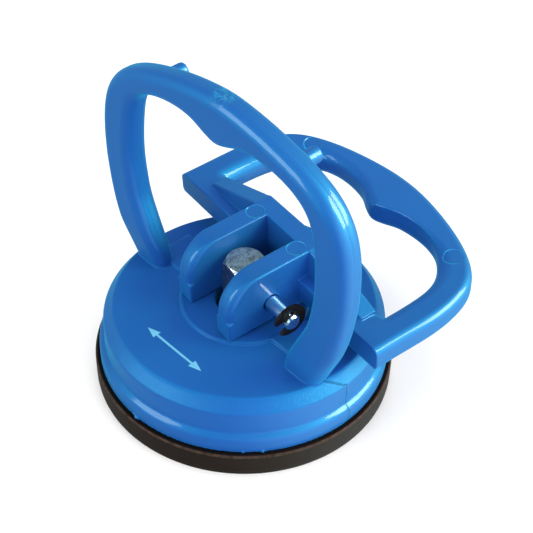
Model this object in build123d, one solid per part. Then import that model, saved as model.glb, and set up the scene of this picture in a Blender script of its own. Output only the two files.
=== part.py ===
from build123d import *
import os
import math

# Two-finger vacuum suction cup (mini puller).
# Frame: origin at the centre of the sealing face, on the surface the cup stands on.
# +Z up, X along the fixed arch handle, +Y towards the side where the lever lies when open.
# Millimetres. The rest pose is the released cup with the lever lying open.

# ---- shared dimensions: where the lever, pin, stud and housing meet ----------------
PIN_Z = 21.05           # cross pin height
YAW = -7.65             # turn of the stud, pin and lever about Z, from the arch
TILT = 3.9              # the lever loop is raised this much at rest
PIN_R = 1.5
POST_R, POST_TOP = 2.0, 12.0   # threaded post that enters the stud
PLATE_Z0, PLATE_Z1 = 2.0, 3.5  # underside and top of the steel disc
BOSS_TOP = 16.05        # raised disc that the lever feet ride on


# ---- helpers -----------------------------------------------------------------------
def save(shape, name):
    solids = shape.solids()
    result = solids[0] if len(solids) == 1 else Compound(children=list(solids))
    export_step(result, f"parts/{name}.step")


def mirrored(points):
    """Whole outline from its +x half, whose first point lies on x = 0."""
    return [(-x, y) for x, y in points[:0:-1]] + list(points)


def standing_cylinder(radius, height, z=0):
    """Cylinder on the Z axis with its lower end at z."""
    return Pos(0, 0, z) * Cylinder(radius, height, align=(Align.CENTER, Align.CENTER, Align.MIN))


def turned(profile):
    """Solid of revolution about Z from an open list of (radius, z) corners."""
    with BuildPart() as builder:
        with BuildSketch(Plane.XZ):
            with BuildLine():
                Polyline(*profile, profile[0])
            make_face()
        revolve(axis=Axis.Z)
    return builder.part


def fillet_largest(shape, edges, radii):
    """Fillet with the first of the falling radii that the edges take."""
    for radius in radii:
        # guards against a radius too large for the edges: the next one is tried
        try:
            result = fillet(edges, radius)
            if result.is_valid and len(result.solids()) == 1:
                return result
        except Exception:
            pass
    return shape


def pin_place(shape):
    """Pin frame (pin along x through the origin) to the cup frame."""
    return Pos(0, 0, PIN_Z) * Rot(0, 0, YAW) * shape


def lever_place(shape):
    """Lever frame (pin along x, loop along y, thickness along z) to the cup frame."""
    return Pos(0, 0, PIN_Z) * Rot(0, 0, YAW) * Rot(TILT, 0, 0) * shape


# ---- rubber pad --------------------------------------------------------------------
PAD_R = 27.5                 # sealing face radius (55 mm cup)
PAD_RIM_R = PAD_R + 0.08     # outside of the thick rim, above the sealing edge
PAD_EDGE_H = 0.5             # height over which the radius grows
PAD_RIM_H = 4.72
PAD_RIM_IN_R = 22.6
PAD_RIM_SLOPE = 1.2          # run of the slope inside the rim
PAD_WEB_H = 3.0              # thickness of the ring between rim and pocket
PAD_POCKET_R, PAD_POCKET_Z = 15.3, 1.55


def rubber_pad():
    return turned([
        (0, 0), (PAD_R, 0), (PAD_RIM_R, PAD_EDGE_H), (PAD_RIM_R, PAD_RIM_H),
        (PAD_RIM_IN_R, PAD_RIM_H), (PAD_RIM_IN_R - PAD_RIM_SLOPE, PAD_WEB_H),
        (PAD_POCKET_R, PAD_WEB_H), (PAD_POCKET_R, PAD_POCKET_Z), (0, PAD_POCKET_Z),
    ])


# ---- steel insert: disc with a threaded post ---------------------------------------
PLATE_R = 15.0
PLATE_ROUND = 0.3
POST_CHAMFER = 0.4
POST_OVERLAP = 0.5      # the post starts this far inside the disc


def pad_insert_plate():
    insert = standing_cylinder(PLATE_R, PLATE_Z1 - PLATE_Z0, PLATE_Z0)
    insert = fillet(insert.edges().filter_by(GeomType.CIRCLE), PLATE_ROUND)
    post_z0 = PLATE_Z1 - POST_OVERLAP
    insert += standing_cylinder(POST_R, POST_TOP - post_z0, post_z0)
    return chamfer(insert.edges().filter_by(GeomType.CIRCLE).sort_by(Axis.Z)[-1], POST_CHAMFER)


# ---- hexagonal stud ----------------------------------------------------------------
HEX_AF = 6.9                        # across flats
HEX_Z0, HEX_TOP = PLATE_Z1 + 0.02, 25.0
HEX_CONE_H = 3.0                    # 45 degree cone that trims the top corners
HEX_CONE_TOP_R = HEX_AF / 2 - 0.06
SOCKET_R = POST_R + 0.05            # blind hole for the post
SOCKET_TOP = POST_TOP + 0.6
STUD_HOLE_R = 1.56


def hex_stud():
    # corners on the pin's axis, flats face +-y, before the yaw
    stud = Pos(0, 0, HEX_Z0) * extrude(RegularPolygon(HEX_AF / math.sqrt(3), 6), HEX_TOP - HEX_Z0)
    cone_z0 = HEX_TOP - HEX_CONE_H
    cone = Pos(0, 0, cone_z0) * Cone(
        HEX_CONE_TOP_R + HEX_CONE_H, HEX_CONE_TOP_R, HEX_CONE_H,
        align=(Align.CENTER, Align.CENTER, Align.MIN))
    stud = stud & (cone + standing_cylinder(20, cone_z0))
    socket_z0 = HEX_Z0 - 1
    stud -= standing_cylinder(SOCKET_R, SOCKET_TOP - socket_z0, socket_z0)
    stud -= Pos(0, 0, PIN_Z) * Rot(0, 90, 0) * Cylinder(STUD_HOLE_R, 30)
    return Rot(0, 0, YAW) * stud


# ---- cross pin and its two retaining clips -----------------------------------------
PIN_START, PIN_END = -9.5, 14.35    # ends along the pin
PIN_CHAMFER = 0.3
GROOVE_R = 1.15
GROOVE_PLAY = 0.04                  # groove beyond the clip on each side
CLIP_R, CLIP_IN_R, CLIP_T = 3.15, 1.17, 0.6
CLIP_STARTS = (12.95, -8.05 - CLIP_T)   # lower-x face of each clip along the pin
CLIP_MOUTH = 2.0                    # narrower than the groove, so the clip snaps on
CLIP_FLARE = 1.62                   # half width of the mouth at its outer end
CLIP_FLARE_X = CLIP_R + 0.2
RELIEF_ANGLE = 62                   # of each relief from the centre prong
RELIEF_X, RELIEF_LENGTH, RELIEF_WIDTH = 1.62, 1.75, 1.05
CLIP_TURN = -67                     # mouth towards -y and 23 degrees below level, before yaw


def cross_pin():
    pin = Pos(PIN_START, 0, 0) * Rot(0, 90, 0) * standing_cylinder(PIN_R, PIN_END - PIN_START)
    pin = chamfer(pin.edges().filter_by(GeomType.CIRCLE), PIN_CHAMFER)
    width = CLIP_T + 2 * GROOVE_PLAY
    for start in CLIP_STARTS:
        ring = standing_cylinder(PIN_R + 1, width) - standing_cylinder(GROOVE_R, width)
        pin -= Pos(start - GROOVE_PLAY, 0, 0) * Rot(0, 90, 0) * ring
    return pin_place(pin)


def e_clip():
    """E-clip for a 3 mm pin, lying flat with its mouth towards +x."""
    half = CLIP_MOUTH / 2
    mouth = Polyline(
        (0, -half), (CLIP_IN_R, -half), (CLIP_FLARE_X, -CLIP_FLARE),
        (CLIP_FLARE_X, CLIP_FLARE), (CLIP_IN_R, half), (0, half), (0, -half))
    sketch = Circle(CLIP_R) - Circle(CLIP_IN_R)
    sketch -= make_face(mouth.edges())
    for angle in (RELIEF_ANGLE, -RELIEF_ANGLE):
        relief = SlotOverall(RELIEF_LENGTH, RELIEF_WIDTH)
        sketch -= Rot(0, 0, 180 + angle) * Pos(RELIEF_X, 0) * relief
    return extrude(sketch, CLIP_T)


def pin_clips():
    clips = []
    for start in CLIP_STARTS:
        clip = Pos(start, 0, 0) * Rot(CLIP_TURN, 0, 0) * Rot(0, 90, 0) * e_clip()
        clips += pin_place(clip).solids()
    return Compound(children=clips)


# ---- housing with the fixed arch handle --------------------------------------------
HSG_Z0 = 4.86           # underside of the skirt
FLANGE_R, FLANGE_TOP = 26.66, 8.2
WALL_R, WALL_TOP = 25.63, 13.0
HSG_TOP_R, HSG_TOP_Z = 23.66, 15.6
HSG_IN_R, CEILING_Z = 24.2, 13.1
CEILING_BEVEL = 1.8
HUB_R, HUB_Z0 = 7.6, 10.3   # tube under the top plate, around the stud hole
BORE_R = 5.3                # stud hole
BOSS_R, BOSS_BEVEL = 11.65, 0.3

# raised strips between boss and arch feet
LAND_X, LAND_LENGTH, LAND_HALF_WIDTH, LAND_TOP = 10.8, 9.0, 3.9, 16.2
LAND_Z0 = HSG_TOP_Z - 1.0

ARCH_Y, ARCH_T = -4.94, 5.1     # middle plane and thickness
ARCH_ROUNDS = (2.2, 2.0, 1.8, 1.5, 1.0)
PEG_X, PEG_Z, PEG_R, PEG_TIP_Y = 15.3, 56.9, 1.4, 0.3
PEG_CHAMFER = 0.3

# half outlines of the arch: (x, z)
ARCH_OUT = [
    (0, 62.25), (4.24, 61.93), (8.83, 61.19), (14.27, 59.86), (19.69, 58.0),
    (24.29, 55.27), (27.54, 51.11), (29.13, 45.86), (29.58, 40.61), (29.51, 36.43),
    (29.21, 33.31), (28.84, 30.71), (28.26, 27.63), (27.15, 23.81), (25.35, 19.4),
    (24.4, 17.1), (23.5, 15.5), (22.9, 14.6),
]
ARCH_IN = [
    (0, 53.3), (2.8, 53.95), (5.2, 54.95), (8.25, 55.45), (13.07, 55.04),
    (17.55, 53.49), (20.13, 51.24), (21.24, 48.56), (21.92, 44.78), (22.31, 40.37),
    (22.31, 36.84), (22.06, 34.27), (21.7, 31.81), (21.2, 29.37), (20.14, 26.5),
    (18.07, 22.0), (15.6, 17.6), (14.4, 14.6),
]


def housing_shell():
    return turned([
        (BORE_R, BOSS_TOP), (BOSS_R - BOSS_BEVEL, BOSS_TOP), (BOSS_R, BOSS_TOP - BOSS_BEVEL),
        (BOSS_R, HSG_TOP_Z), (HSG_TOP_R, HSG_TOP_Z), (WALL_R, WALL_TOP), (WALL_R, FLANGE_TOP),
        # two short slopes round off the flange edge
        (FLANGE_R - 0.55, FLANGE_TOP), (FLANGE_R - 0.1, FLANGE_TOP - 0.35),
        (FLANGE_R, FLANGE_TOP - 0.9), (FLANGE_R, HSG_Z0), (HSG_IN_R, HSG_Z0),
        (HSG_IN_R, CEILING_Z - CEILING_BEVEL), (HSG_IN_R - CEILING_BEVEL, CEILING_Z),
        (HUB_R, CEILING_Z), (HUB_R, HUB_Z0), (BORE_R, HUB_Z0),
    ])


def arch_handle():
    outer = Spline(*[Vector(x, 0, z) for x, z in mirrored(ARCH_OUT)])
    inner = Spline(*[Vector(x, 0, z) for x, z in mirrored(ARCH_IN)])
    foot_left = Line(outer @ 0, inner @ 0)
    foot_right = Line(outer @ 1, inner @ 1)
    face = make_face([outer, foot_left, inner, foot_right])
    arch = Pos(0, ARCH_Y + ARCH_T / 2, 0) * extrude(face, ARCH_T, dir=(0, -1, 0))
    long_edges = [edge for edge in arch.edges() if edge.length > 60]
    return fillet_largest(arch, long_edges, ARCH_ROUNDS)


def housing_with_arch_handle():
    lands = Part()
    pegs = Part()
    for side in (1, -1):
        lands += Pos(side * (LAND_X + LAND_LENGTH / 2), 0, LAND_Z0) * Box(
            LAND_LENGTH, 2 * LAND_HALF_WIDTH, LAND_TOP - LAND_Z0,
            align=(Align.CENTER, Align.CENTER, Align.MIN))
        peg = standing_cylinder(PEG_R, PEG_TIP_Y - ARCH_Y)
        peg = chamfer(peg.edges().filter_by(GeomType.CIRCLE).sort_by(Axis.Z)[-1], PEG_CHAMFER)
        pegs += Pos(side * PEG_X, ARCH_Y, PEG_Z) * Rot(-90, 0, 0) * peg
    return housing_shell() + arch_handle() + lands + pegs


# ---- lever handle, in the lever frame: front is -y, back is +y ---------------------
LEG_IN, LEG_OUT = 4.1, 8.0      # inner and outer faces of the legs, along the pin
LEG_TOP, LEG_BOT = 7.4, -4.34   # above and below the pin
LEG_FRONT = -9.1
LEG_NOSE_R = 6.5
SLOT_BACK = 8.1                 # end of the slot between the legs
SLOT_FRONT = LEG_FRONT - 5      # the cut runs out past the legs
BLOCK_BACK = 11.7
BAR_FRONT, BAR_HALF = 5.8, 29.4
LOOP_TOP, LOOP_BOT = 1.87, -3.73
LOOP_ROUNDS = (1.9, 1.6, 1.3, 1.0)
RAMP_X = 22.2                   # outer end of the slopes beside the legs
RAMP_FRONT, RAMP_BACK = 8.3, 11.6
LEVER_HOLE_R = 1.59
LEAD_IN_R = LEVER_HOLE_R + 0.2  # shallow recess at the outer ends of the pin holes

CLOSED = 86.0                   # lever angle above horizontal when its bar meets the pegs
LIFT = 4.43                     # stud lift from rest to closed
CAM_GAP = 0.05                  # clearance between leg and boss

# half outlines of the loop: (x, y)
LOOP_OUT = [
    (0, 38.65), (3.5, 38.5), (7.78, 37.9), (13.56, 36.6), (19.05, 34.75),
    (23.2, 32.6), (25.9, 30.3), (27.4, 28.0), (28.2, 25.9), (28.85, 23.3),
    (29.3, 20.0), (29.45, 15.96), (29.4, 11.5),
]
LOOP_IN = [
    (0, 29.1), (2.4, 29.65), (4.6, 30.75), (7.5, 31.45), (12.4, 31.55),
    (16.6, 30.3), (19.4, 28.1), (21.0, 26.2), (22.0, 24.2), (22.55, 22.2),
    (22.86, 19.5), (23.0, 15.9), (22.97, 12.2),
]


def lever_loop():
    outer = Spline(*[Vector(x, y, 0) for x, y in mirrored(LOOP_OUT)])
    inner = Spline(*[Vector(x, y, 0) for x, y in mirrored(LOOP_IN)])
    corner_left = Vector(-BAR_HALF, BAR_FRONT, 0)
    corner_right = Vector(BAR_HALF, BAR_FRONT, 0)
    side_right = Line(outer @ 1, corner_right)
    side_left = Line(outer @ 0, corner_left)
    bar_front = Line(corner_left, corner_right)
    outer_face = make_face([outer, side_right, bar_front, side_left])
    inner_face = make_face([inner, Line(inner @ 0, inner @ 1)])
    loop = extrude(outer_face - inner_face, LOOP_TOP - LOOP_BOT, dir=(0, 0, 1))
    loop = Pos(0, 0, LOOP_BOT) * loop
    rim_edges = [
        edge for edge in loop.edges()
        if edge.length > 25
        and min(abs(edge.center().Z - LOOP_TOP), abs(edge.center().Z - LOOP_BOT)) < 1e-3
    ]
    return fillet_largest(loop, rim_edges, LOOP_ROUNDS)


def cam_point(angle):
    """Point (y, z) of the cam curve under the legs: the leg stays clear of the boss
    while the stud rises in proportion to the lever's angle."""
    height = PIN_Z - BOSS_TOP - CAM_GAP + LIFT * (angle - TILT) / (CLOSED - TILT)
    rate = LIFT / math.radians(CLOSED - TILT)
    turn = math.radians(angle)
    return (-height * math.sin(turn) - rate * math.cos(turn),
            -height * math.cos(turn) + rate * math.sin(turn))


def leg_block():
    """Both legs as one block, before the slot is cut."""
    cam = [cam_point(angle) for angle in range(4, 80, 4)]
    # keep only the part of the curve inside the leg
    cam = [(y, z) for y, z in cam if z > LEG_BOT + 0.02 and y > LEG_FRONT + 0.05]
    top_back = (BLOCK_BACK, LEG_TOP)
    nose_top = (LEG_FRONT + LEG_NOSE_R, LEG_TOP)
    nose_front = (LEG_FRONT, LEG_TOP - LEG_NOSE_R)
    cam_front = (LEG_FRONT, cam[-1][1] + 0.35)
    cam_back = (cam[0][0] + 0.6, LEG_BOT)
    bottom_back = (SLOT_BACK - 1.0, LEG_BOT)
    block_back = (BLOCK_BACK, LOOP_BOT)
    with BuildPart() as builder:
        with BuildSketch(Plane.YZ):
            with BuildLine():
                Line(top_back, nose_top)
                RadiusArc(nose_top, nose_front, -LEG_NOSE_R)
                Line(nose_front, cam_front)
                Polyline(cam_front, *cam[::-1], cam_back)
                Line(cam_back, bottom_back)
                Line(bottom_back, block_back)
                Line(block_back, top_back)
            make_face()
        extrude(amount=LEG_OUT, both=True)
    return builder.part


def lever_ramps():
    """Slopes from the top of the legs down to the bar, one on each side."""
    ramps = Part()
    root_x, root_z = LEG_OUT - 1, LOOP_TOP - 2      # sunk into the leg and the bar
    for side in (1, -1):
        outline = Polyline(
            (side * root_x, 0, root_z), (side * root_x, 0, LEG_TOP),
            (side * LEG_OUT, 0, LEG_TOP), (side * RAMP_X, 0, LOOP_TOP + 0.45),
            (side * (RAMP_X + 0.2), 0, root_z), (side * root_x, 0, root_z))
        ramp = extrude(make_face(outline.edges()), RAMP_BACK - RAMP_FRONT, dir=(0, -1, 0))
        ramps += Pos(0, RAMP_BACK, 0) * ramp
    return ramps


def lever_handle():
    lever = lever_loop() + leg_block() + lever_ramps()
    lever -= Pos(0, (SLOT_BACK + SLOT_FRONT) / 2, 0) * Box(2 * LEG_IN, SLOT_BACK - SLOT_FRONT, 40)
    lever -= Rot(0, 90, 0) * Cylinder(LEVER_HOLE_R, 60)
    for side in (1, -1):
        lever -= Pos(side * (LEG_OUT - 0.15), 0, 0) * Rot(0, 90, 0) * Cylinder(LEAD_IN_R, 0.32)
    return lever_place(lever)


# ---- write the pieces --------------------------------------------------------------
os.makedirs("parts", exist_ok=True)
for piece in (rubber_pad, pad_insert_plate, hex_stud, cross_pin, pin_clips,
              housing_with_arch_handle, lever_handle):
    save(piece(), piece.__name__)
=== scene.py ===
"""Suction pad with a domed blue housing, an arch handle and a finger-loop lever.

The axis is Z and the underside of the rubber pad is at z = 0. The arch handle spans X and
stands in front of the axis, towards -Y. The lever turns on a cross pin above the housing,
and its loop reaches back, towards +Y. Shapes are worked out in millimetres.
"""

import math
from functools import reduce

import bpy
import bmesh
import numpy as np
from mathutils import Matrix, Vector


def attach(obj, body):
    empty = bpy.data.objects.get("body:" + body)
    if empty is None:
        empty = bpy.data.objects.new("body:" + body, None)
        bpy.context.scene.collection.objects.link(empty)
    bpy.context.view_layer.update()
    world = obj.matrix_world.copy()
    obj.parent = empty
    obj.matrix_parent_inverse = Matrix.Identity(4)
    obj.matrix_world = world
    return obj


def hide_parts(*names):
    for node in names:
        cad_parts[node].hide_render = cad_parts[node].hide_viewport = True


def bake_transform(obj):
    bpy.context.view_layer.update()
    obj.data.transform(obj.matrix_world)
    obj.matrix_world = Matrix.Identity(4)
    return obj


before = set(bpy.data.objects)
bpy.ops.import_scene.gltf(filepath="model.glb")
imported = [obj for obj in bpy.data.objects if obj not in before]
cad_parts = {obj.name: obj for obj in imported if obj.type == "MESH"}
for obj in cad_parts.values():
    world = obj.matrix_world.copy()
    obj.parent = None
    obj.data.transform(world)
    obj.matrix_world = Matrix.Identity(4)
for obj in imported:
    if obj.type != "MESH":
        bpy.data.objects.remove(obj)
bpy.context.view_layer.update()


MM = 0.001
MM_PER_METRE = 1000.0

# ======================================================================================
# Dimensions in millimetres
# ======================================================================================
HOUSING_CELL = 0.3
LEVER_CELL = 0.27
SPLINE_STEP = 0.5

# Housing of revolution: radius, z, corner radius
DOME_PROFILE = [
    (-3, 15.6, 0), (23.66, 15.6, 0.6), (25.63, 13.0, 0.9), (25.63, 8.7, 0.7),
    (26.66, 7.85, 1.3), (26.66, 4.86, 0.2), (24.2, 4.86, 0.2), (24.2, 11.3, 0.6),
    (22.4, 13.1, 0.6), (7.6, 13.1, 0.3), (7.6, 10.3, 0.2), (5.3, 10.3, 0.2),
    (5.3, 13.6, 0), (-3, 13.6, 0)]
STUD_HOLE_R = 5.3
RAISED_Z = 15.2                      # mid-height of the raised disc and the side strips
DISC_R, DISC_HALF_HEIGHT = 11.65, 0.85
LIP_R, LIP_WIDTH, LIP_HEIGHT = 11.2, 0.28, 0.07
STRIP_X, STRIP_HALF = 15.3, (4.5, 3.9, 1.0)

# Arch handle, right half: x, z from the centre line down to the foot
ARCH_Y, ARCH_THICK = -4.94, 5.1
ARCH_OUTER = [
    (0, 62.25), (4.24, 61.93), (8.83, 61.19), (14.27, 59.86), (19.69, 58.0),
    (24.29, 55.27), (27.54, 51.11), (29.13, 45.86), (29.58, 40.61), (29.51, 36.43),
    (29.21, 33.31), (28.84, 30.71), (28.26, 27.63), (27.15, 23.81), (25.35, 19.4),
    (24.4, 17.1), (23.5, 15.5), (22.9, 14.6)]
ARCH_INNER = [
    (0, 53.05), (2.8, 53.95), (5.2, 54.95), (8.25, 55.45), (13.07, 55.04),
    (17.55, 53.49), (20.13, 51.24), (21.24, 48.56), (21.92, 44.78), (22.31, 40.37),
    (22.31, 36.84), (22.06, 34.27), (21.7, 31.81), (21.2, 29.37), (20.14, 26.5),
    (18.15, 22.0), (16.5, 18.4), (15.9, 16.4), (15.7, 14.6)]
ARCH_BASE_Z, ARCH_BASE_OUTER_X, ARCH_BASE_INNER_X = 14.0, 22.7, 15.6
CUSP_SOFTENING = 0.9                 # half-length of curve rounded off at an inner cusp
PEG_X, PEG_Y, PEG_Z = 15.3, -2.2, 56.9
PEG_R, PEG_HALF_LENGTH = 1.4, 2.5
GATE_X, GATE_R = 0.35, 2.1           # rough gate vestige on top of the arch
GATE_BUMPS = [                       # x, y, radius
    (-0.95, -4.55, 0.32), (-0.55, -4.1, 0.22), (1.15, -4.45, 0.3), (1.6, -4.15, 0.2)]
SKIRT_BURRS = [                      # x, y, z, radius
    (0.35, -26.72, 5.45, 0.26), (1.0, -26.72, 5.05, 0.33), (1.5, -26.65, 4.98, 0.22),
    (19.35, -18.35, 4.95, 0.2), (21.55, -15.75, 4.95, 0.22)]

# Lever, in its own axes: x, reach away from the pin, height above the pin
PIN_Z = 21.05
LEVER_YAW, LEVER_TILT = math.radians(-7.65), math.radians(3.9)
# Right half of the finger loop: x, reach
LOOP_OUTER = [
    (0, 38.65), (3.5, 38.5), (7.78, 37.9), (13.56, 36.6), (19.05, 34.75),
    (23.2, 32.6), (25.9, 30.3), (27.4, 28.0), (28.2, 25.9), (28.85, 23.3),
    (29.3, 20.0), (29.45, 15.96), (29.4, 11.5), (29.4, 5.8)]
LOOP_INNER = [
    (0, 28.75), (2.4, 29.65), (4.6, 30.75), (7.5, 31.45), (12.4, 31.55),
    (16.6, 30.3), (19.4, 28.1), (21.0, 26.2), (22.0, 24.2), (22.55, 22.2),
    (22.86, 19.5), (23.0, 15.9), (22.97, 12.2)]
LOOP_HALF_WIDTH = 29.4
LOOP_CORNER_R = 1.6
LOOP_TOP, LOOP_UNDER = 1.87, -3.73
BAR_FRONT = 5.8
BLOCK_TOP = 7.4
# Side view of a leg: reach, height, corner radius
LEG_PROFILE = [
    (11.7, BLOCK_TOP, 0), (-9.1, BLOCK_TOP, 6.5), (-9.1, -4.34, 0.15), (7.1, -4.34, 1.0),
    (11.7, LOOP_UNDER, 0)]
LEG_OUTER_X, LEG_INNER_X, SLOT_END = 8.0, 4.1, 8.1
PIN_HOLE_R = 1.66
RAMP_FOOT_X, RAMP_FOOT_HEIGHT, RAMP_END_X = 22.2, 2.32, 22.3
RAMP_REACH, RAMP_HALF_WIDTH = 9.95, 1.65
# Edge radii on top of the loop
OUTER_EDGE, SOFT_EDGE, CRISP_EDGE = 1.55, 1.9, 0.45

# Rubber pad: radius, z, corner radius
PAD_PROFILE = [
    (0.0, 0.0, 0), (27.5, 0.0, 0.25), (27.58, 0.6, 0), (27.58, 4.72, 0.35), (22.6, 4.72, 0.3),
    (21.4, 3.0, 0.3), (15.3, 3.0, 0.15), (15.3, 1.55, 0.1), (0.0, 1.55, 0)]
PAD_ROW = 0.8                        # longest stretch between rows of vertices
PAD_SEGMENTS = 288


# ======================================================================================
# Outlines
# ======================================================================================
def curve_through(points):
    """Natural cubic spline through the points, as a dense polyline."""
    knots = np.array(points, float)
    gap = np.diff(np.r_[0, np.cumsum(np.hypot(*np.diff(knots, axis=0).T))])
    count = len(knots)
    system = np.zeros((count, count))
    target = np.zeros((count, 2))
    system[0, 0] = system[-1, -1] = 1
    for i in range(1, count - 1):
        system[i, i - 1:i + 2] = gap[i - 1], 2 * (gap[i - 1] + gap[i]), gap[i]
        target[i] = 6 * ((knots[i + 1] - knots[i]) / gap[i]
                         - (knots[i] - knots[i - 1]) / gap[i - 1])
    bend = np.linalg.solve(system, target)
    pieces = []
    for i in range(count - 1):
        steps = max(2, int(gap[i] / SPLINE_STEP))
        t = (np.arange(steps) / steps)[:, None] * gap[i]
        pieces.append(
            bend[i] * (gap[i] - t) ** 3 / (6 * gap[i]) + bend[i + 1] * t ** 3 / (6 * gap[i])
            + (knots[i] / gap[i] - bend[i] * gap[i] / 6) * (gap[i] - t)
            + (knots[i + 1] / gap[i] - bend[i + 1] * gap[i] / 6) * t)
    return np.vstack(pieces + [knots[-1:]])


def mirrored_curve(points):
    """Smooth spline through a right half and its mirror image."""
    return curve_through([(-x, y) for x, y in points[:0:-1]] + points)


def mirrored_cusp(points):
    """Mirrored spline with a slightly softened point on the centre line."""
    half = curve_through(points)
    full = np.vstack([half[:0:-1] * [-1, 1], half])
    tip = len(half) - 1
    reach = max(1, int(round(CUSP_SOFTENING / SPLINE_STEP)))
    t = np.linspace(0, 1, 13)[:, None]
    arc = ((1 - t) ** 2 * full[tip - reach] + 2 * t * (1 - t) * full[tip]
           + t ** 2 * full[tip + reach])
    return np.vstack([full[:tip - reach], arc, full[tip + reach + 1:]])


def rounded(corners):
    """Closed polygon from rows of x, y, corner radius."""
    rows = np.array(corners, float)
    points, radii = rows[:, :2], rows[:, 2]
    out = []
    for i, (corner, radius) in enumerate(zip(points, radii)):
        if radius <= 0:
            out.append(corner)
            continue
        back = points[i - 1] - corner
        ahead = points[(i + 1) % len(points)] - corner
        back, ahead = back / np.linalg.norm(back), ahead / np.linalg.norm(ahead)
        half = math.acos(max(-1, min(1, float(back @ ahead)))) / 2
        cut = radius / math.tan(half)
        middle = back + ahead
        centre = corner + middle / np.linalg.norm(middle) * radius / math.sin(half)
        start, end = corner + back * cut - centre, corner + ahead * cut - centre
        angle = math.atan2(start[1], start[0])
        turn = (math.atan2(end[1], end[0]) - angle + math.pi) % (2 * math.pi) - math.pi
        steps = max(3, int(abs(turn) / 0.12))
        for k in range(steps + 1):
            a = angle + turn * k / steps
            out.append(centre + radius * np.array([math.cos(a), math.sin(a)]))
    return np.array(out)


# ======================================================================================
# Signed distances: negative is inside
# ======================================================================================
def polygon_distance(x, y, polygon):
    best = np.full(x.shape, 1e9)
    inside = np.zeros(x.shape, bool)
    for (ax, ay), (bx, by) in zip(polygon, np.roll(polygon, -1, axis=0)):
        edge_x, edge_y = bx - ax, by - ay
        length_sq = edge_x * edge_x + edge_y * edge_y
        if length_sq < 1e-12:
            continue
        from_x, from_y = x - ax, y - ay
        t = np.clip((from_x * edge_x + from_y * edge_y) / length_sq, 0, 1)
        best = np.minimum(best, (from_x - t * edge_x) ** 2 + (from_y - t * edge_y) ** 2)
        if ay != by:
            crosses = ((ay <= y) & (by > y)) | ((by <= y) & (ay > y))
            inside ^= crosses & (x < ax + (y - ay) * edge_x / edge_y)
    distance = np.sqrt(best)
    return np.where(inside, -distance, distance)


class OutlineField:
    """Distance to an outline, sampled on a grid and read back by bilinear interpolation."""

    def __init__(self, polygon, low, high, step=0.12):
        self.low, self.step = low, step
        self.size = [int(math.ceil((high[k] - low[k]) / step)) + 2 for k in (0, 1)]
        axes = [low[k] + np.arange(self.size[k]) * step for k in (0, 1)]
        grid = np.meshgrid(*axes, indexing="ij")
        self.values = polygon_distance(*grid, polygon).astype(np.float32)

    def __call__(self, x, y):
        grid_x = (x - self.low[0]) / self.step
        grid_y = (y - self.low[1]) / self.step
        held_x = np.clip(grid_x, 0, self.size[0] - 1.001)
        held_y = np.clip(grid_y, 0, self.size[1] - 1.001)
        i, j = held_x.astype(np.int32), held_y.astype(np.int32)
        u, v = (held_x - i).astype(np.float32), (held_y - j).astype(np.float32)
        d = self.values
        inside = ((d[i, j] * (1 - u) + d[i + 1, j] * u) * (1 - v)
                  + (d[i, j + 1] * (1 - u) + d[i + 1, j + 1] * u) * v)
        beyond = np.hypot(grid_x - held_x, grid_y - held_y) * self.step
        return inside + beyond.astype(np.float32)


def ease(value, start, end):
    t = np.clip((value - start) / (end - start), 0, 1)
    return t * t * (3 - 2 * t)


def join(a, b, blend):
    """Union with a fillet."""
    h = np.clip(0.5 + 0.5 * (b - a) / blend, 0, 1)
    return b + (a - b) * h - blend * h * (1 - h)


def common(a, b, blend):
    """Intersection with a softened edge."""
    return -join(-a, -b, blend)


def slab(outline, thickness, radius):
    """Extrusion of an outline's field, with its edges rounded."""
    a, b = outline + radius, thickness + radius
    outside = np.hypot(np.maximum(a, 0), np.maximum(b, 0))
    return np.minimum(np.maximum(a, b), 0) + outside - radius


def length(x, y, z):
    return np.sqrt(x ** 2 + y ** 2 + z ** 2)


def box(offsets, half_sizes, radius):
    x, y, z = [np.abs(offset) - half + radius for offset, half in zip(offsets, half_sizes)]
    outside = length(np.maximum(x, 0), np.maximum(y, 0), np.maximum(z, 0))
    return outside + np.minimum(np.maximum(x, np.maximum(y, z)), 0) - radius


# ======================================================================================
# Meshes
# ======================================================================================
CORNERS = [(x, y, z) for z in (0, 1) for y in (0, 1) for x in (0, 1)]
EDGES = [(a, b) for a in range(8) for b in range(a + 1, 8)
         if sum(abs(CORNERS[a][k] - CORNERS[b][k]) for k in range(3)) == 1]
BLOCK = 4         # cells along a block; only blocks near the surface are sampled finely
BATCH = 400000    # samples taken at once


def sample_field(field, low, high, cell):
    block_count = np.ceil((np.array(high, float) - low) / (BLOCK * cell)).astype(int) + 1
    centres = [low[k] + (np.arange(block_count[k]) * BLOCK + 1.5) * cell for k in range(3)]
    x, y, z = np.meshgrid(*centres, indexing="ij")
    coarse = field(x.ravel(), y.ravel(), z.ravel()).reshape(x.shape).astype(np.float32)
    samples = coarse
    for axis in range(3):
        samples = np.repeat(samples, BLOCK, axis)
    blocks = np.argwhere(np.abs(coarse) < BLOCK * cell * 1.35)
    offsets = np.argwhere(np.ones((BLOCK, BLOCK, BLOCK)))
    spots = (blocks[:, None] * BLOCK + offsets).reshape(-1, 3)
    values = np.empty(len(spots), np.float32)
    for s in range(0, len(spots), BATCH):
        part = slice(s, s + BATCH)
        values[part] = field(*(low + spots[part] * cell).T)
    samples[tuple(spots.T)] = values
    return samples


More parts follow.
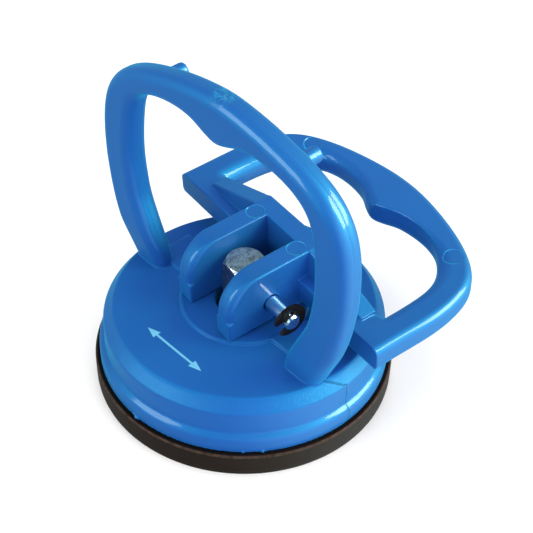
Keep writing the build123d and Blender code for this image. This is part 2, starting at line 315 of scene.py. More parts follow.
def surface_quads(inside, vertex_index):
    """One quad for each grid edge that crosses the surface, facing outwards."""
    quads = []
    for axis in range(3):
        u, w = (axis + 1) % 3, (axis + 2) % 3
        near, far = [slice(1, -1)] * 3, [slice(1, -1)] * 3
        near[axis], far[axis] = slice(0, -1), slice(1, None)
        a, b = inside[tuple(near)], inside[tuple(far)]
        cross = np.argwhere(a != b)
        leaving = a[tuple(cross.T)]
        ring = []
        for step_u, step_w in ((0, 0), (1, 0), (1, 1), (0, 1)):
            spot = cross.copy()
            spot[:, u] += step_u
            spot[:, w] += step_w
            ring.append(vertex_index[tuple(spot.T)])
        ring = np.stack(ring, 1)
        ring[~leaving] = ring[~leaving][:, ::-1]
        quads.append(ring)
    quads = np.vstack(quads)
    return quads[(quads >= 0).all(1)]


def slope_at(field, points, reach=0.03):
    """Unit normals and steepness of the field."""
    gradient = np.stack([field(*(points + offset).T) - field(*(points - offset).T)
                         for offset in np.eye(3) * reach], 1) / (2 * reach)
    steepness = np.maximum(np.linalg.norm(gradient, axis=1), 1e-3)
    return gradient / steepness[:, None], steepness


def field_surface(field, low, high, cell):
    """Zero surface of field(x, y, z) as vertices, quads and normals."""
    low = np.array(low, float)
    samples = sample_field(field, low, high, cell)
    inside = samples < 0
    nx, ny, nz = [n - 1 for n in inside.shape]
    count = sum(inside[a:nx + a, b:ny + b, c:nz + c].astype(np.int8) for a, b, c in CORNERS)
    active = (count > 0) & (count < 8)
    cells = np.argwhere(active)
    vertex_index = np.full(active.shape, -1, np.int32)
    vertex_index[active] = np.arange(len(cells))

    # each vertex starts at the mean of its cell's edge crossings
    corner_values = np.stack([samples[tuple((cells + corner).T)] for corner in CORNERS], 1)
    total = np.zeros((len(cells), 3))
    crossings = np.zeros(len(cells))
    for a, b in EDGES:
        value_a, value_b = corner_values[:, a], corner_values[:, b]
        crosses = (value_a < 0) != (value_b < 0)
        t = np.where(crosses, value_a / np.where(crosses, value_a - value_b, 1), 0)
        start, end = np.array(CORNERS[a], float), np.array(CORNERS[b], float)
        total += np.where(crosses[:, None], start + (end - start) * t[:, None], 0)
        crossings += crosses
    points = low + (cells + total / crossings[:, None]) * cell

    # and is then drawn onto the surface
    for _ in range(3):
        normals, steepness = slope_at(field, points)
        step = np.clip(field(*points.T) / steepness, -0.45 * cell, 0.45 * cell)
        points = points - normals * step[:, None]
    return points, surface_quads(inside, vertex_index), slope_at(field, points)[0]


def add_object(name, mesh):
    obj = bpy.data.objects.new(name, mesh)
    bpy.context.scene.collection.objects.link(obj)
    return obj


def shade_smooth(mesh):
    mesh.polygons.foreach_set("use_smooth", np.ones(len(mesh.polygons), bool))


def quad_object(name, points, quads, normals):
    mesh = bpy.data.meshes.new(name)
    mesh.vertices.add(len(points))
    mesh.vertices.foreach_set("co", (points * MM).astype(np.float32).ravel())
    mesh.loops.add(quads.size)
    mesh.polygons.add(len(quads))
    mesh.loops.foreach_set("vertex_index", quads.astype(np.int32).ravel())
    mesh.polygons.foreach_set("loop_start", np.arange(0, quads.size, 4, dtype=np.int32))
    mesh.update(calc_edges=True)
    mesh.validate()
    shade_smooth(mesh)
    mesh.normals_split_custom_set_from_vertices(normals.astype(np.float32).tolist())
    return add_object(name, mesh)


def lathe(name, profile, segments):
    """Turned surface around Z from an open (radius, z) profile."""
    radius, z = profile.T
    angle = (np.arange(segments) * 2 * math.pi / segments)[:, None]
    points = np.stack([radius * np.cos(angle), radius * np.sin(angle),
                       np.repeat(z[None], segments, 0)], 2).reshape(-1, 3)
    rows = len(profile)
    bm = bmesh.new()
    verts = [bm.verts.new(Vector(point) * MM) for point in points]
    for i in range(segments):
        here, there = i * rows, (i + 1) % segments * rows
        for k in range(rows - 1):
            bm.faces.new([verts[here + k], verts[there + k],
                          verts[there + k + 1], verts[here + k + 1]])
    bmesh.ops.remove_doubles(bm, verts=bm.verts, dist=1e-6)
    bmesh.ops.recalc_face_normals(bm, faces=bm.faces)
    mesh = bpy.data.meshes.new(name)
    bm.to_mesh(mesh)
    bm.free()
    shade_smooth(mesh)
    return add_object(name, mesh)


# ======================================================================================
# Housing and arch handle
# ======================================================================================
dome_outline = OutlineField(rounded(DOME_PROFILE), (-4, 2), (32, 20), step=0.1)
arch_outline = OutlineField(np.vstack([
    [[-ARCH_BASE_OUTER_X, ARCH_BASE_Z]],
    mirrored_curve(ARCH_OUTER),
    [[ARCH_BASE_OUTER_X, ARCH_BASE_Z], [ARCH_BASE_INNER_X, ARCH_BASE_Z]],
    mirrored_cusp(ARCH_INNER)[::-1],
    [[-ARCH_BASE_INNER_X, ARCH_BASE_Z]]]), (-32, 10), (32, 65))


def arch_field(x, y, z):
    # the front face draws back a little towards the feet
    draw = 0.95 * ease(-z, -24.0, -15.6)
    thickness = np.abs(y - ARCH_Y - draw / 2) - (ARCH_THICK - draw) / 2
    arch = slab(arch_outline(x, z), thickness, radius=2.05)
    # rough gate vestige on top
    from_gate = np.hypot(x - GATE_X, (y - ARCH_Y) * 1.15)
    rough = (np.sin(x * 5.1 + y * 2.3) * np.sin(y * 6.3 - x * 1.9)
             + 0.6 * np.sin(x * 9.7) * np.sin(y * 8.1))
    spot = np.clip((GATE_R - from_gate) / 0.8, 0, 1) * (z > 59)
    arch = arch + spot * (0.06 + 0.05 * rough)
    for bump_x, bump_y, radius in GATE_BUMPS:
        bump_z = 62.2 - 0.012 * (bump_x * bump_x) * 4
        bump = length(x - bump_x, y - bump_y, (z - bump_z) * 1.4) - radius
        arch = join(arch, bump, blend=0.2)
    return arch


def housing_field(x, y, z):
    radius, side_x = np.hypot(x, y), np.abs(x)
    # raised disc the lever rides on, with a fine lip near its rim
    lip = LIP_HEIGHT * np.exp(-((radius - LIP_R) / LIP_WIDTH) ** 2)
    disc = slab(radius - DISC_R, np.abs(z - RAISED_Z) - DISC_HALF_HEIGHT - lip, radius=0.2)
    body = join(dome_outline(radius, z), disc, blend=0.3)
    # strips from the disc towards the arch feet
    strips = box((side_x - STRIP_X, y, z - RAISED_Z), STRIP_HALF, radius=0.18)
    body = join(body, strips, blend=0.15)
    body = join(body, arch_field(x, y, z), blend=0.35)
    # pegs on the back of the arch
    from_peg = np.hypot(side_x - PEG_X, z - PEG_Z)
    pegs = slab(from_peg - PEG_R, np.abs(y - PEG_Y) - PEG_HALF_LENGTH, radius=0.42)
    body = join(body, pegs, blend=0.3)
    body = common(body, np.minimum(STUD_HOLE_R - radius, 20.0 - z), blend=0.3)
    # flash burrs on the skirt's lower edge
    for burr_x, burr_y, burr_z, burr_r in SKIRT_BURRS:
        burr = length(x - burr_x, y - burr_y, z - burr_z) - burr_r
        body = join(body, burr, blend=0.25)
    return body


def build_housing():
    surface = field_surface(
        housing_field, (-30.6, -27.6, 4.2), (30.6, 27.6, 63.0), HOUSING_CELL)
    obj = quad_object("housing_and_arch_handle", *surface)
    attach(obj, "housing")
    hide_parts("housing_with_arch_handle")
    return obj


# ======================================================================================
# Lever
# ======================================================================================
def loop_opening():
    """Finger opening, with its two front corners rounded."""
    outline = mirrored_cusp(LOOP_INNER)
    radii = np.zeros(len(outline))
    radii[[0, -1]] = LOOP_CORNER_R
    return rounded(np.column_stack([outline, radii]))


def lever_axes():
    """Matrix whose columns are the lever's x, reach and height directions."""
    ct, st = math.cos(LEVER_TILT), math.sin(LEVER_TILT)
    cy, sy = math.cos(LEVER_YAW), math.sin(LEVER_YAW)
    tilt = np.array([[1, 0, 0], [0, ct, -st], [0, st, ct]])
    yaw = np.array([[cy, -sy, 0], [sy, cy, 0], [0, 0, 1]])
    return yaw @ tilt


LEVER_AXES = lever_axes()
loop_outline = OutlineField(
    np.vstack([mirrored_curve(LOOP_OUTER), [[LOOP_HALF_WIDTH, 0.0], [-LOOP_HALF_WIDTH, 0.0]]]),
    (-32, -2), (32, 42))
opening_outline = OutlineField(loop_opening(), (-32, -2), (32, 42))
leg_outline = OutlineField(rounded(LEG_PROFILE), (-14, -10), (16, 12), step=0.1)


def opening_edge_radius(x):
    """Soft on the left, crisp just right of the middle, filling out down the right arm."""
    left = SOFT_EDGE + 1.0 * ease(-x, 12.0, 20.0)
    middle = SOFT_EDGE - (SOFT_EDGE - CRISP_EDGE) * ease(x, 0.2, 1.0)
    right = CRISP_EDGE + 2.2 * ease(x, 10.0, 22.5)
    return np.where(x > 5.0, right, np.where(x < 0.2, left, middle))


def loop_field(x, reach, height):
    outer, opening = loop_outline(x, reach), opening_outline(x, reach)
    # the top edge radius passes from the outer edge's to the opening's
    top_radius = OUTER_EDGE + (opening_edge_radius(x) - OUTER_EDGE) * ease(
        -opening - outer, -1.6, 0.4)
    middle, half = (LOOP_TOP + LOOP_UNDER) / 2, (LOOP_TOP - LOOP_UNDER) / 2
    loop = slab(np.maximum(outer, -opening), np.abs(height - middle) - half,
                radius=np.where(height > middle, top_radius, 2.3))
    # crisp front face on the bar, with its lower edge rolled under
    front = BAR_FRONT - reach
    under = slab(front, LOOP_UNDER - height, radius=1.5)
    return common(common(loop, front, blend=0.28), under, blend=0.1)


def ramp_field(side_x, reach, height):
    """Ramps from the block between the arms down to the bar on both sides."""
    t = np.clip((side_x - LEG_OUTER_X) / (RAMP_FOOT_X - LEG_OUTER_X), 0, 1)
    top = BLOCK_TOP + (RAMP_FOOT_HEIGHT - BLOCK_TOP) * t
    ramp = np.maximum((height - top) * 0.94, np.maximum(side_x - RAMP_END_X, -height))
    return common(ramp, np.abs(reach - RAMP_REACH) - RAMP_HALF_WIDTH, blend=0.3)


def lever_field(x, reach, height):
    side_x = np.abs(x)
    # leg edges are crisp on the straight, fuller round the nose, crisp again below it
    fuller = 1.05 * (ease(-reach, 2.2, 7.2) * ease(height, -0.55, 0.05))
    legs = slab(leg_outline(reach, height), side_x - LEG_OUTER_X, radius=0.32 + fuller)
    body = join(loop_field(x, reach, height), legs, blend=0.35)
    body = join(body, ramp_field(side_x, reach, height), blend=0.3)
    # slot between the legs
    slot = np.maximum(side_x - LEG_INNER_X, reach - SLOT_END)
    body = slab(body, -slot, radius=0.3 + fuller)
    return common(body, PIN_HOLE_R - np.hypot(reach, height), blend=0.18)


def build_lever():
    points, quads, normals = field_surface(
        lever_field, (-30.4, -10.2, -5.4), (30.4, 39.8, 8.6), LEVER_CELL)
    points = points @ LEVER_AXES.T + np.array([0, 0, PIN_Z])
    obj = quad_object("lever_finger_loop", points, quads, normals @ LEVER_AXES.T)
    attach(obj, "lever")
    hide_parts("lever_handle")
    return obj


# ======================================================================================
# Rubber pad
# ======================================================================================
def build_pad():
    profile = rounded(PAD_PROFILE)
    rows = []
    for a, b in zip(profile[:-1], profile[1:]):
        count = max(1, int(np.linalg.norm(b - a) / PAD_ROW))
        rows += [a + (b - a) * k / count for k in range(count)]
    rows.append(profile[-1])
    obj = lathe("rubber_suction_pad", np.array(rows), PAD_SEGMENTS)
    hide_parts("rubber_pad")
    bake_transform(obj)
    return obj


# ======================================================================================
# Shader graphs
# ======================================================================================
def rgba(colour):
    return (*colour, 1)


class Graph:
    def __init__(self, tree):
        self.tree = tree

    def put(self, socket, value):
        if isinstance(value, bpy.types.NodeSocket):
            self.tree.links.new(value, socket)
        else:
            socket.default_value = value

    def node(self, kind, *inputs, **settings):
        node = self.tree.nodes.new(kind)
        for key, value in settings.items():
            setattr(node, key, value)
        for i, value in enumerate(inputs):
            self.put(node.inputs[i], value)
        return node

    def math(self, operation, *values, clamp=False):
        return self.node("ShaderNodeMath", *values,
                         operation=operation, use_clamp=clamp).outputs[0]

    def vector(self, operation, *values):
        return self.node("ShaderNodeVectorMath", *values, operation=operation).outputs

    def add(self, a, b):
        return self.math("ADD", a, b)

    def sub(self, a, b):
        return self.math("SUBTRACT", a, b)

    def mul(self, *values):
        return reduce(lambda a, b: self.math("MULTIPLY", a, b), values)

    def max(self, a, b):
        return self.math("MAXIMUM", a, b)

    def abs(self, value):
        return self.math("ABSOLUTE", value)

    def hypot(self, a, b):
        return self.math("SQRT", self.add(self.mul(a, a), self.mul(b, b)))

    def xyz(self, vector):
        return self.node("ShaderNodeSeparateXYZ", vector).outputs

    def remap(self, value, over, to, **settings):
        return self.node("ShaderNodeMapRange", value, *over, *to, **settings).outputs[0]

    def rise(self, value, over):
        return self.remap(value, over, to=(0.0, 1.0))

    def fall(self, value, over):
        return self.remap(value, over, to=(1.0, 0.0))

    def stripe(self, value, centre, fade):
        """1 around the centre, fading to 0 over the given distances from it."""
        return self.fall(self.abs(self.sub(value, centre)), over=fade)

    def disc(self, distance, radius, soft=0.11):
        """1 inside the radius, 0 outside."""
        return self.fall(distance, over=(radius - soft, radius + soft))

    def mix(self, factor, a, b):
        node = self.node("ShaderNodeMix", factor, data_type="RGBA")
        for i, colour in ((6, a), (7, b)):
            self.put(node.inputs[i], rgba(colour) if isinstance(colour, tuple) else colour)
        return node.outputs[2]


class Material(Graph):
    """A material with a single Principled shader."""

    def __init__(self, name):
        self.material = bpy.data.materials.new(name)
        self.material.use_nodes = True
        super().__init__(self.material.node_tree)
        self.tree.nodes.clear()
        output = self.node("ShaderNodeOutputMaterial")
        self.shader = self.node("ShaderNodeBsdfPrincipled")
        self.put(output.inputs[0], self.shader.outputs[0])

    def shade(self, inputs):
        for name, value in inputs.items():
            value = rgba(value) if isinstance(value, tuple) else value
            self.put(self.shader.inputs[name], value)

    def position(self):
        return self.node("ShaderNodeTexCoord").outputs["Object"]

    def millimetres(self, position):
        node = self.node("ShaderNodeVectorMath", position, operation="SCALE")
        node.inputs[3].default_value = MM_PER_METRE
        return self.xyz(node.outputs[0])

    def noise(self, vector, scale, detail=3.0, roughness=0.55):
        node = self.node("ShaderNodeTexNoise")
        self.put(node.inputs["Vector"], vector)
        node.inputs["Scale"].default_value = scale
        node.inputs["Detail"].default_value = detail
        node.inputs["Roughness"].default_value = roughness
        return node.outputs["Fac"]

    def ramp(self, factor, low, high):
        """Colour ramp between two (position, colour) stops."""
        node = self.node("ShaderNodeValToRGB", factor)
        for element, (position, colour) in zip(node.color_ramp.elements, (low, high)):
            element.position = position
            element.color = rgba(colour)
        return node.outputs["Color"]

    def bump(self, height, strength, distance):
        node = self.node("ShaderNodeBump")
        self.put(node.inputs["Height"], height)
        node.inputs["Strength"].default_value = strength
        node.inputs["Distance"].default_value = distance
        return node.outputs[0]


# ======================================================================================
# Blue plastic. Masks are in millimetres.
# ======================================================================================
BLUE_DEEP, BLUE_BRIGHT = (0.011, 0.045, 0.292), (0.012, 0.051, 0.322)
PARTING_LINE_BLUE, GATE_BLUE, ARROW_BLUE = (0.004, 0.03, 0.15), (0.03, 0.3, 0.62), (0.16, 0.47, 0.68)
# round marks: the first colour is painted shade inside them, the second a painted highlight on their
# rims
MARK_SHADE_BLUE, MARK_RIM_HIGHLIGHT_BLUE = (0.008, 0.040, 0.26), (0.02, 0.19, 0.58)
BASE_ROUGHNESS = 0.52   # added to the coat's roughness for the plastic under it


class BluePlastic(Material):
    def __init__(self, name):
        super().__init__(name)
        self.place = self.position()
        broad = self.noise(self.place, scale=45, detail=2)
        patches = self.noise(self.place, scale=300)
        self.fine = self.noise(self.place, scale=5200)
        self.colour = self.ramp(broad, low=(0.3, BLUE_DEEP), high=(0.7, BLUE_BRIGHT))
        self.rough = self.remap(patches, over=(0.3, 0.7), to=(0.06, 0.10))
        self.height = self.mul(self.fine, 0.0012)
        self.gloss = self.remap(broad, over=(0.3, 0.7), to=(0.065, 0.08))
        self.base_rough = BASE_ROUGHNESS

    def lift(self, mask, by):
        self.height = self.add(self.height, self.mul(mask, by))

    def sink(self, mask, by):
        self.height = self.sub(self.height, self.mul(mask, by))

    def roughen(self, mask, by):
        self.rough = self.add(self.rough, self.mul(mask, by))

    def tint(self, mask, colour):
        self.colour = self.mix(mask, self.colour, colour)

    def finish(self):
        # light handling scuffs
        scuff = self.noise(self.place, scale=120, detail=6, roughness=0.75)
        rough = self.add(self.rough, self.remap(scuff, over=(0.55, 0.75), to=(0.0, 0.05)))
        normal = self.bump(self.height, strength=1.0, distance=0.001)
        self.shade({
            "Base Color": self.colour, "Roughness": self.add(rough, self.base_rough),
            "IOR": 1.75, "Specular Tint": (0.0, 0.8, 1.0), "Normal": normal,
            "Coat Weight": self.gloss, "Coat Roughness": rough, "Coat IOR": 2.2,
            "Coat Normal": normal,
            "Sheen Weight": 0.4, "Sheen Roughness": 0.4, "Sheen Tint": (0.0, 0.75, 1.0)})
        return self.material


def shoulder_and_plate(g, x, y, z, radius):
    """Matt streaks running down the sloping shoulder, and a duller top plate."""
    shoulder = g.mul(g.rise(radius, over=(23.5, 23.8)), g.fall(radius, over=(25.5, 25.62)),
                     g.rise(z, over=(12.9, 13.2)), g.fall(z, over=(15.6, 15.8)))
    around = g.mul(g.math("ARCTAN2", y, x), 70.0)
    stretched = g.node("ShaderNodeCombineXYZ", around, g.mul(z, 0.9), g.mul(radius, 0.2))
    streak = g.noise(stretched.outputs[0], scale=1.4, detail=4, roughness=0.7)
    g.lift(g.mul(g.add(streak, g.mul(g.fine, 0.5)), shoulder), by=0.06)
    g.roughen(shoulder, by=0.17)
    plate = g.mul(g.fall(z, over=(16.3, 16.6)), g.rise(z, over=(14.9, 15.3)))
    g.roughen(plate, by=0.12)
    g.base_rough = g.sub(BASE_ROUGHNESS, g.mul(shoulder, 0.24))
    gloss_loss = g.add(g.mul(plate, 0.7), g.mul(shoulder, 0.65))
    g.gloss = g.mul(g.gloss, g.sub(1.0, gloss_loss))


def parting_lines(g, x, y, z, radius):
    """Mould parting line round the arch, and a groove down each side of the housing."""
    ridge = g.mul(g.stripe(y, ARCH_Y, fade=(0.03, 0.16)), g.rise(z, over=(17.5, 19.0)))
    g.lift(ridge, by=0.035)
    skirt = g.mul(g.fall(g.abs(y), over=(0.05, 0.13)), g.rise(radius, over=(25.3, 25.45)),
                  g.fall(z, over=(13.6, 13.8)))
    # on the shoulder the groove slants to the foot of the arch
    side_x = g.abs(x)
    slant = g.mul(g.sub(side_x, 23.48), 1.8)
    shoulder = g.mul(g.stripe(g.sub(y, -3.8), slant, fade=(0.1, 0.28)),
                     g.mul(g.rise(z, over=(12.9, 13.2)), g.fall(z, over=(15.5, 15.8))),
                     g.rise(side_x, over=(23.3, 23.5)))
    groove = g.max(skirt, shoulder)
    g.sink(groove, by=0.15)
    g.tint(g.mul(groove, 0.75), PARTING_LINE_BLUE)


def gate_patch(g, x, y, z):
    """Stress-lightened rough patch at the gate."""
    from_gate = g.hypot(g.sub(x, GATE_X), g.sub(y, ARCH_Y))
    grain = g.noise(g.place, scale=1500, detail=4, roughness=0.7)
    patch = g.mul(g.disc(from_gate, radius=2.0, soft=0.5), g.rise(z, over=(60.0, 60.5)),
                  g.rise(grain, over=(0.45, 0.6)))
    g.lift(patch, by=0.1)
    g.tint(g.mul(patch, 0.3), GATE_BLUE)


def printed_arrow(g, x, y, z):
    """Double-headed arrow along X, printed on the front of the top plate."""
    along = g.abs(g.sub(x, 0.9))
    across = g.abs(g.add(y, 17.5))
    bar = g.mul(g.fall(along, over=(4.9, 5.0)), g.fall(across, over=(0.17, 0.25)))
    taper = g.sub(g.mul(g.sub(7.1, along), 0.34), across)
    head = g.mul(g.rise(taper, over=(-0.04, 0.04)), g.rise(along, over=(4.55, 4.65)))
    wear = g.noise(g.place, scale=2200, roughness=0.7)
    g.tint(g.mul(g.max(bar, head), g.rise(z, over=(15.4, 15.5)), g.fall(z, over=(15.65, 15.75)),
                 g.remap(wear, over=(0.3, 0.42), to=(0.55, 1.0))), ARROW_BLUE)


def housing_plastic():
    g = BluePlastic("blue_housing_plastic")
    x, y, z = g.millimetres(g.place)
    radius = g.hypot(x, y)
    shoulder_and_plate(g, x, y, z, radius)
    parting_lines(g, x, y, z, radius)
    gate_patch(g, x, y, z)
    printed_arrow(g, x, y, z)
    return g.finish()


def round_marks(g, side_x, reach, height):
    """Shallow round marks on the loop and on the block, with painted shade inside them and a painted
    highlight on their rims.
    """
    on_loop = g.mul(g.disc(g.hypot(g.sub(side_x, 20.3), g.sub(reach, 31.0)), radius=1.85),
                    g.rise(height, over=(0.9, 1.2)))
    on_block = g.mul(g.disc(g.hypot(g.sub(side_x, 6.05), g.sub(reach, 7.0)), radius=1.7),
                     g.rise(height, over=(6.6, 6.8)))
    marks = g.max(on_loop, on_block)
    g.sink(marks, by=0.2)
    # painted shade inside the recessed marks
    g.tint(g.mul(marks, 0.3), MARK_SHADE_BLUE)
    # painted highlight along each mark's rim
    rim = g.mul(marks, g.sub(1.0, marks))
    g.tint(g.math("MULTIPLY", rim, 3.2, clamp=True), MARK_RIM_HIGHLIGHT_BLUE)


def lever_plastic():
    g = BluePlastic("blue_lever_plastic")
    from_pin = g.vector("SUBTRACT", g.place, (0, 0, PIN_Z * MM))[0]
    x, reach, height = [
        g.vector("DOT_PRODUCT", from_pin, tuple(float(v) * 1000 for v in axis))["Value"]
        for axis in LEVER_AXES.T]
    side_x = g.abs(x)
    round_marks(g, side_x, reach, height)
    # the inner faces between the legs are duller
    inner_faces = g.mul(g.stripe(side_x, LEG_INNER_X, fade=(0.05, 0.15)),
                        g.fall(reach, over=(8.0, 8.2)))
    g.roughen(inner_faces, by=0.25)
    # faint witness ring beside the pin hole on the outer cheeks
    from_ring = g.hypot(g.sub(reach, 2.3), g.sub(height, 1.0))
    ring = g.mul(g.stripe(from_ring, 2.2, fade=(0.03, 0.14)),
                 g.stripe(side_x, LEG_OUTER_X, fade=(0.1, 0.2)))
    g.lift(ring, by=0.04)
    # slight grain on the blunt end of each ramp
    ramp_end = g.mul(g.rise(side_x, over=(15.0, 17.0)),
                     g.stripe(reach, RAMP_REACH, fade=(1.6, 1.7)),
                     g.rise(height, over=(2.0, 2.2)))
    grain = g.noise(g.place, scale=2300, roughness=0.7)
    g.lift(g.mul(grain, ramp_end), by=0.06)
    return g.finish()


# ======================================================================================
# Rubber and metals
# ======================================================================================
RUBBER_DARK, RUBBER_LIGHT = (0.0052, 0.0040, 0.0033), (0.0095, 0.0072, 0.0058)
# rim top colour is painted shade, rim corner colour a painted highlight, dust colour is real dust
RIM_TOP_SHADE, RIM_CORNER_HIGHLIGHT, DUST = (0.0035, 0.0045, 0.0060), (0.085, 0.060, 0.045), (0.10, 0.085, 0.075)


def rubber():
    g = Material("black_moulded_rubber")
    place = g.position()
    x, y, z = g.millimetres(place)
    radius = g.hypot(x, y)
    fine = g.noise(place, scale=4200, roughness=0.6)
    colour = g.ramp(g.noise(place, scale=160), low=(0.3, RUBBER_DARK), high=(0.75, RUBBER_LIGHT))
    # the top of the rim gets painted shade, its corner a broken painted highlight, and there are
    # dust specks
    top = g.mul(g.rise(z, over=(4.6, 4.68)), g.fall(radius, over=(27.1, 27.25)))
    colour = g.mix(top, colour, RIM_TOP_SHADE)
    highlight_breakup = g.remap(g.noise(place, scale=900), over=(0.35, 0.6), to=(0.25, 1.0))
    # painted highlight along the rim's rounded corner, broken up by noise
    corner = g.mul(g.rise(z, over=(4.2, 4.45)), g.rise(radius, over=(27.2, 27.4)), highlight_breakup)
    colour = g.mix(g.mul(corner, 0.55), colour, RIM_CORNER_HIGHLIGHT)
    specks = g.noise(place, scale=2600, detail=2, roughness=0.5)
    colour = g.mix(g.remap(specks, over=(0.74, 0.78), to=(0.0, 0.45)), colour, DUST)
    rough = g.remap(fine, over=(0.3, 0.7), to=(0.5, 0.64))
    g.shade({
        "Base Color": colour, "Roughness": g.add(rough, g.mul(top, 0.2)),
        "Specular IOR Level": g.remap(top, over=(0.0, 1.0), to=(0.13, 0.04)),
        "Specular Tint": (1.0, 0.42, 0.31),
        "Sheen Weight": g.remap(top, over=(0.0, 1.0), to=(0.05, 0.01)),
        "Sheen Roughness": 0.5, "Sheen Tint": (1.0, 0.6, 0.42),
        "Normal": g.bump(fine, strength=0.35, distance=0.00004)})
    return g.material


def steel(name, dark, light, roughness, grain, bump, streak=False, side=None):
    """Mottled metal. streak draws the mottle out along the pin; side paints a reflection of the blue
    plastic onto steep faces.
    """
    g = Material(name)
    place = g.position()
    if streak:
        turned = g.node("ShaderNodeVectorRotate", rotation_type="Z_AXIS")
        g.put(turned.inputs["Vector"], place)
        turned.inputs["Angle"].default_value = -LEVER_YAW
        place = g.vector("MULTIPLY", turned.outputs[0], (0.16, 1.0, 1.0))[0]
    fine = g.noise(place, scale=grain, detail=4, roughness=0.7)
    broad = g.noise(place, scale=grain * 0.35, roughness=0.6)
    mottle = g.add(g.mul(fine, 0.65), g.mul(broad, 0.35))
    colour = g.ramp(mottle, low=(0.38, dark), high=(0.60, light))
    # painted reflection of the blue plastic on faces that turn away from up
    if side is not None:
        facing_up = g.xyz(g.node("ShaderNodeNewGeometry").outputs["Normal"])[2]
        steep_reflection_dark = tuple(c * 0.3 for c in side)
        steep_reflection_colour = g.ramp(mottle, low=(0.42, steep_reflection_dark), high=(0.66, side))
        colour = g.mix(g.fall(facing_up, over=(0.2, 0.4)), colour, steep_reflection_colour)
    g.shade({
        "Base Color": colour, "Metallic": 1.0,
        "Roughness": g.remap(fine, over=(0.35, 0.65), to=(roughness * 1.3, roughness * 0.7)),
        "Normal": g.bump(fine, strength=1.0, distance=bump)})
    return g.material


def black_oxide():
    g = Material("black_oxide_spring_steel")
    grain = g.noise(g.position(), scale=3500)
    g.shade({
        "Base Color": g.ramp(grain, low=(0.35, (0.004, 0.0035, 0.003)),
                             high=(0.65, (0.012, 0.009, 0.006))),
        "Specular IOR Level": 0.12,
        "Roughness": g.remap(grain, over=(0.3, 0.7), to=(0.16, 0.28)),
        "Normal": g.bump(grain, strength=1.0, distance=0.000006)})
    return g.material


def give(obj, material):
    obj.data.materials.clear()
    obj.data.materials.append(material)


housing = build_housing()
lever = build_lever()
pad = build_pad()
give(housing, housing_plastic())
give(lever, lever_plastic())
give(pad, rubber())

CAD_PARTS = [   # part, material, slot
    # the stud's side colour is a painted reflection of the blue plastic
    ("hex_stud", steel("zinc_plated_steel", dark=(0.09, 0.10, 0.11), light=(0.60, 0.65, 0.71),
                       roughness=0.33, grain=2600, bump=0.00006, side=(0.28, 0.40, 0.60)),
     "zinc_steel"),
    # the streaky mottle is the turned finish; its bluish dark tone is a painted reflection of the
    # blue plastic
    ("cross_pin", steel("bright_turned_steel", dark=(0.48, 0.56, 0.66),
                        light=(0.92, 0.93, 0.94), roughness=0.15, grain=3200, bump=0.00001,
                        streak=True), "bright_steel"),
    ("pin_clips", black_oxide(), "black_steel"),
    ("pad_insert_plate", steel("pressed_steel", dark=(0.30, 0.30, 0.31),
                               light=(0.52, 0.52, 0.53), roughness=0.38, grain=2600,
                               bump=0.00001), "insert_steel")]
for part, material, slot in CAD_PARTS:
    give(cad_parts[part], material)

# ======================================================================================
# Stage, in metres
# ======================================================================================
scene = bpy.context.scene


def build_floor():
    mesh = bpy.data.meshes.new("floor")
    bm = bmesh.new()
    bmesh.ops.create_grid(bm, x_segments=1, y_segments=1, size=3.0)
    bm.to_mesh(mesh)
    bm.free()
    floor = add_object("floor", mesh)
    floor.location = (0, 0, -0.00005)
    g = Material("pale_floor")
    g.shade({
        "Base Color": (0.72, 0.72, 0.72), "Roughness": 0.9, "Specular IOR Level": 0.1,
        "Emission Color": (1, 1, 1), "Emission Strength": 0.3})
    give(floor, g.material)
    floor.visible_glossy = False


def direction(azimuth, elevation):
    a, e = math.radians(azimuth), math.radians(elevation)
    return math.cos(a) * math.cos(e), math.sin(a) * math.cos(e), math.sin(e)


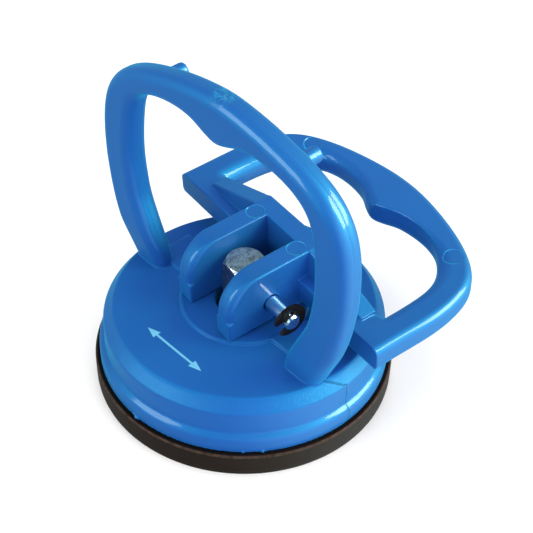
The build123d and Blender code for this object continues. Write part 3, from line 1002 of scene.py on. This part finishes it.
def build_world():
    """Even white tent; reflections see a cool, dimmer room with three soft glows."""
    world = bpy.data.worlds.new("studio")
    scene.world = world
    world.use_nodes = True
    g = Graph(world.node_tree)
    background = g.tree.nodes["Background"]
    background.inputs[0].default_value = (1, 1, 1, 1)
    view = g.node("ShaderNodeTexCoord").outputs["Generated"]

    def glow(azimuth, elevation, width, level):
        """Round glow that fades to nothing at width degrees from its centre."""
        toward = g.vector("DOT_PRODUCT", view, direction(azimuth, elevation))["Value"]
        return g.remap(toward, over=(math.cos(math.radians(width)), 1.0), to=(0.0, level),
                       interpolation_type="SMOOTHSTEP")

    room = g.remap(g.xyz(view)[2], over=(-0.25, 0.5), to=(0.42, 0.5))
    front = glow(azimuth=250, elevation=14, width=34, level=0.5)
    right = glow(azimuth=16, elevation=-8, width=68, level=3.8)
    front_right = glow(azimuth=330, elevation=22, width=34, level=1.0)
    reflected = g.add(room, g.add(front, g.add(right, front_right)))
    rays = g.node("ShaderNodeLightPath").outputs
    glossy = rays["Is Glossy Ray"]
    tent = g.mul(g.sub(1.0, glossy), 0.84)
    level = g.max(g.add(g.mul(reflected, glossy), tent), rays["Is Camera Ray"])
    g.put(background.inputs[1], level)
    g.put(background.inputs[0], g.mix(glossy, (1, 1, 1), (0.6, 0.94, 1.0)))


def area(name, azimuth, elevation, distance, size, radiance, diffuse=True, glossy=True):
    """Rectangular light aimed at a point just above the pad."""
    target = Vector((0, 0, 0.025))
    place = target + distance * Vector(direction(azimuth, elevation))
    light = bpy.data.lights.new(name, "AREA")
    light.shape = "RECTANGLE"
    light.size, light.size_y = size
    light.energy = radiance * math.pi * light.size * light.size_y
    obj = add_object(name, light)
    obj.location = place
    obj.rotation_euler = (target - place).to_track_quat("-Z", "Y").to_euler()
    obj.visible_diffuse = diffuse
    obj.visible_glossy = glossy


def build_camera():
    data = bpy.data.cameras.new("camera")
    data.lens = 81.604
    data.sensor_width = 36
    data.clip_start = 0.01
    camera = add_object("camera", data)
    right = Vector((0.69173, 0.72186, 0.02089))
    up = Vector((-0.49825, 0.45611, 0.73737))
    forward = Vector((-0.52275, 0.52047, -0.67516))
    turn = Matrix((right, up, -forward)).transposed()
    place = Matrix.Translation((0.113956, -0.108140, 0.167369))
    camera.matrix_world = place @ turn.to_4x4()
    scene.camera = camera


build_floor()
build_world()
# softboxes light the surfaces, windows are only seen in reflections
area("top_softbox", azimuth=90, elevation=80, distance=0.9, size=(0.5, 0.5), radiance=3.6,
     glossy=False)
area("front_softbox", azimuth=272, elevation=22, distance=0.9, size=(0.6, 0.45), radiance=3.2,
     glossy=False)
area("right_softbox", azimuth=8, elevation=24, distance=0.9, size=(0.6, 0.45), radiance=3.4,
     glossy=False)
area("right_window", azimuth=42, elevation=31, distance=0.8, size=(0.5, 0.48), radiance=34.0,
     diffuse=False)
area("left_window", azimuth=250, elevation=28, distance=0.8, size=(0.42, 0.46), radiance=12.0,
     diffuse=False)
build_camera()
scene.view_settings.view_transform = "Standard"
scene.view_settings.look = "None"
